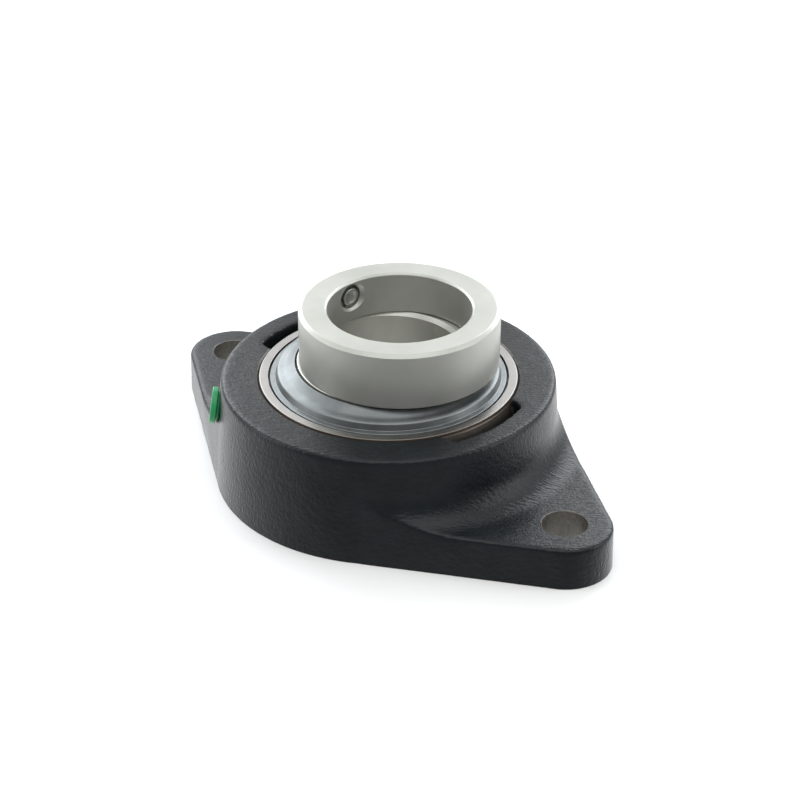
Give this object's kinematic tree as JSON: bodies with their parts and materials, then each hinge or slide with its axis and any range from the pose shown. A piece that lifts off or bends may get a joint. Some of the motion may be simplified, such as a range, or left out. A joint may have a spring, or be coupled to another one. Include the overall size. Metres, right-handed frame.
{
  "type": "two-bolt flange mount bearing",
  "caption": "Oval flanged cast housing with a self-aligning insert ball bearing and an eccentric locking collar that grips the shaft.",
  "frame": {"origin": "on the bore axis, in the mounting face of the housing, halfway between the bolt holes", "axes": "+Z along the bore axis from the mounting face towards the locking collar; X through the two bolt holes"},
  "size_m": [0.18, 0.111, 0.0586],
  "materials": {
    "housing_paint": "satin anthracite paint over a slightly rough casting",
    "plug_green": "moulded green plastic",
    "ring_steel": "ground bearing steel",
    "inner_steel": "ground bearing steel",
    "ball_steel": "polished",
    "cage_nylon": "moulded",
    "seal_zinc": "zinc plated sheet",
    "seal_rubber": "matte",
    "collar_zinc": "satin zinc plating",
    "screw_steel": "satin"
  },
  "bodies": {
    "housing": {"housing": "housing_paint"},
    "plug": {"lube_plug": "plug_green"},
    "outer_ring": {"outer_ring": "ring_steel", "seal_washer_front": "seal_zinc", "seal_lip_front": "seal_rubber", "seal_plate_front": "seal_zinc", "seal_washer_rear": "seal_zinc", "seal_lip_rear": "seal_rubber", "seal_plate_rear": "seal_zinc"},
    "inner_ring": {"inner_ring": "inner_steel"},
    "cage": {"cage": "cage_nylon"},
    "ball_1": {"ball_1": "ball_steel"},
    "ball_2": {"ball_2": "ball_steel"},
    "ball_3": {"ball_3": "ball_steel"},
    "ball_4": {"ball_4": "ball_steel"},
    "ball_5": {"ball_5": "ball_steel"},
    "ball_6": {"ball_6": "ball_steel"},
    "ball_7": {"ball_7": "ball_steel"},
    "ball_8": {"ball_8": "ball_steel"},
    "ball_9": {"ball_9": "ball_steel"},
    "collar": {"eccentric_collar": "collar_zinc"},
    "screw": {"grub_screw": "screw_steel"}
  },
  "joints": [
    {"name": "insert_tilt", "type": "hinge", "parent": "housing", "child": "outer_ring", "pos_m": [0, 0, 0.024], "axis": [1, 0, 0], "range_deg": [-5, 5]},
    {"name": "shaft_spin", "type": "hinge", "parent": "outer_ring", "child": "inner_ring", "pos_m": [0, 0, 0.024], "axis": [0, 0, 1], "continuous": true},
    {"name": "cage_orbit", "type": "hinge", "parent": "outer_ring", "child": "cage", "pos_m": [0, 0, 0.024], "axis": [0, 0, 1], "continuous": true},
    {"name": "ball_1_spin", "type": "hinge", "parent": "cage", "child": "ball_1", "pos_m": [0.0325, 0, 0.024], "axis": [0, 0, 1], "continuous": true},
    {"name": "ball_2_spin", "type": "hinge", "parent": "cage", "child": "ball_2", "pos_m": [0.0249, 0.02089, 0.024], "axis": [0, 0, 1], "continuous": true},
    {"name": "ball_3_spin", "type": "hinge", "parent": "cage", "child": "ball_3", "pos_m": [0.00564, 0.03201, 0.024], "axis": [0, 0, 1], "continuous": true},
    {"name": "ball_4_spin", "type": "hinge", "parent": "cage", "child": "ball_4", "pos_m": [-0.01625, 0.02815, 0.024], "axis": [0, 0, 1], "continuous": true},
    {"name": "ball_5_spin", "type": "hinge", "parent": "cage", "child": "ball_5", "pos_m": [-0.03054, 0.01112, 0.024], "axis": [0, 0, 1], "continuous": true},
    {"name": "ball_6_spin", "type": "hinge", "parent": "cage", "child": "ball_6", "pos_m": [-0.03054, -0.01112, 0.024], "axis": [0, 0, 1], "continuous": true},
    {"name": "ball_7_spin", "type": "hinge", "parent": "cage", "child": "ball_7", "pos_m": [-0.01625, -0.02815, 0.024], "axis": [0, 0, 1], "continuous": true},
    {"name": "ball_8_spin", "type": "hinge", "parent": "cage", "child": "ball_8", "pos_m": [0.00564, -0.03201, 0.024], "axis": [0, 0, 1], "continuous": true},
    {"name": "ball_9_spin", "type": "hinge", "parent": "cage", "child": "ball_9", "pos_m": [0.0249, -0.02089, 0.024], "axis": [0, 0, 1], "continuous": true},
    {"name": "collar_turn", "type": "hinge", "parent": "inner_ring", "child": "collar", "pos_m": [0.00122, 0.00122, 0.0426], "axis": [0, 0, 1], "range_deg": [-180, 180]},
    {"name": "grub_screw_travel", "type": "slide", "parent": "collar", "child": "screw", "axis": [-0.9986, 0.0523, 0], "range_m": [-0.0022, 0.012]},
    {"name": "lube_plug_pull", "type": "slide", "parent": "housing", "child": "plug", "axis": [-0.687, -0.7114, 0.1478], "range_m": [0, 0.012]}
  ],
  "couplings": [
    {"joint": "cage_orbit", "follows": "shaft_spin", "ratio": 0.40231},
    {"joint": "ball_1_spin", "follows": "shaft_spin", "ratio": -2.4613},
    {"joint": "ball_2_spin", "follows": "shaft_spin", "ratio": -2.4613},
    {"joint": "ball_3_spin", "follows": "shaft_spin", "ratio": -2.4613},
    {"joint": "ball_4_spin", "follows": "shaft_spin", "ratio": -2.4613},
    {"joint": "ball_5_spin", "follows": "shaft_spin", "ratio": -2.4613},
    {"joint": "ball_6_spin", "follows": "shaft_spin", "ratio": -2.4613},
    {"joint": "ball_7_spin", "follows": "shaft_spin", "ratio": -2.4613},
    {"joint": "ball_8_spin", "follows": "shaft_spin", "ratio": -2.4613},
    {"joint": "ball_9_spin", "follows": "shaft_spin", "ratio": -2.4613}
  ]
}
